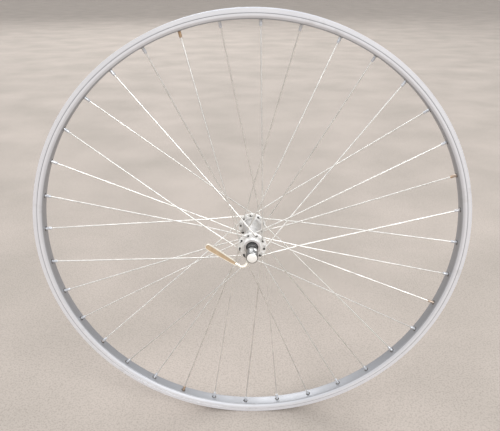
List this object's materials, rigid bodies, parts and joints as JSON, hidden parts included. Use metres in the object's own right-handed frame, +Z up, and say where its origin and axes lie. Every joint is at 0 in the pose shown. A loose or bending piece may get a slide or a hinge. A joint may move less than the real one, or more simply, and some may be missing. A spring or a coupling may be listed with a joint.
{
  "type": "bicycle front wheel with quick-release hub",
  "caption": "Spoked bicycle front wheel without a tyre: hollow alloy rim, crossed wire spokes, cup-and-cone hub and a cam quick-release skewer.",
  "frame": {"origin": "centre of the wheel, on the axle midway between the locknuts' outer faces", "axes": "+Y along the axle from the quick-release lever's side (left, -Y) to the adjusting nut's side; +Z up; +X across the wheel"},
  "size_m": [0.6339, 0.1425, 0.634],
  "materials": {
    "rim_alloy": "brushed anodised alloy, dulled, with scuffed brake faces",
    "spoke_steel": "drawn stainless wire, dulled",
    "nipple_brass": "plated brass, tarnished on some",
    "eyelet_steel": "plated steel, stained dark",
    "hub_alloy": "polished cast alloy",
    "bearing_steel": "hardened bearing steel, greasy",
    "dust_cap_alloy": "pressed steel",
    "cone_steel": "hardened steel, satin",
    "washer_steel": "zinc-plated steel",
    "locknut_steel": "zinc-plated steel, satin",
    "axle_steel": "steel, satin",
    "spring_steel": "spring wire",
    "housing_alloy": "polished alloy with a pale crown",
    "cam_steel": "ground steel",
    "cam_cap_steel": "bright steel",
    "lever_alloy": "polished forged alloy",
    "rod_steel": "drawn steel",
    "nut_alloy": "polished alloy"
  },
  "bodies": {
    "axle_group": {"axle": "axle_steel", "cone_left": "cone_steel", "cone_right": "cone_steel", "lock_washer_left": "washer_steel", "lock_washer_right": "washer_steel", "locknut_left": "locknut_steel", "locknut_right": "locknut_steel", "skewer_spring_left": "spring_steel", "skewer_spring_right": "spring_steel"},
    "wheel": {"rim": "rim_alloy", "hub_shell": "hub_alloy", "eyelets": "eyelet_steel", "bearing_cup_left": "bearing_steel", "bearing_cup_right": "bearing_steel", "dust_cap_left": "dust_cap_alloy", "dust_cap_right": "dust_cap_alloy", "spokes_left_inner": "spoke_steel", "spokes_left_outer": "spoke_steel", "spokes_right_inner": "spoke_steel", "spokes_right_outer": "spoke_steel", "nipples_left_inner": "nipple_brass", "nipples_left_outer": "nipple_brass", "nipples_right_inner": "nipple_brass", "nipples_right_outer": "nipple_brass"},
    "balls_left": {"bearing_balls_left": "bearing_steel"},
    "balls_right": {"bearing_balls_right": "bearing_steel"},
    "housing": {"lever_housing": "housing_alloy"},
    "lever": {"quick_release_lever": "lever_alloy", "cam_shaft": "cam_steel", "cam_shaft_cap": "cam_cap_steel"},
    "rod": {"skewer_rod": "rod_steel"},
    "nut": {"adjusting_nut": "nut_alloy"}
  },
  "joints": [
    {"name": "wheel_spin", "type": "hinge", "parent": "axle_group", "child": "wheel", "pos_m": [0, 0, 0], "axis": [0, 1, 0], "continuous": true},
    {"name": "balls_left_roll", "type": "hinge", "parent": "axle_group", "child": "balls_left", "pos_m": [0, -0.0342, 0], "axis": [0, 1, 0], "continuous": true},
    {"name": "balls_right_roll", "type": "hinge", "parent": "axle_group", "child": "balls_right", "pos_m": [0, 0.0342, 0], "axis": [0, 1, 0], "continuous": true},
    {"name": "lever_swivel", "type": "hinge", "parent": "axle_group", "child": "housing", "pos_m": [0, -0.0635, 0], "axis": [0, 1, 0], "continuous": true},
    {"name": "lever_throw", "type": "hinge", "parent": "housing", "child": "lever", "pos_m": [0, -0.0635, 0], "axis": [0.5, 0, 0.866], "range_deg": [0, 180]},
    {"name": "skewer_pull", "type": "slide", "parent": "housing", "child": "rod", "axis": [0, 1, 0], "range_m": [0, 0.0016]},
    {"name": "nut_turn", "type": "hinge", "parent": "rod", "child": "nut", "pos_m": [0, 0.0625, 0], "axis": [0, 1, 0], "continuous": true}
  ],
  "couplings": [
    {"joint": "balls_left_roll", "follows": "wheel_spin", "ratio": 0.60142},
    {"joint": "balls_right_roll", "follows": "wheel_spin", "ratio": 0.60142},
    {"joint": "skewer_pull", "follows": "lever_throw", "m_per_rad": 0.00050929}
  ]
}
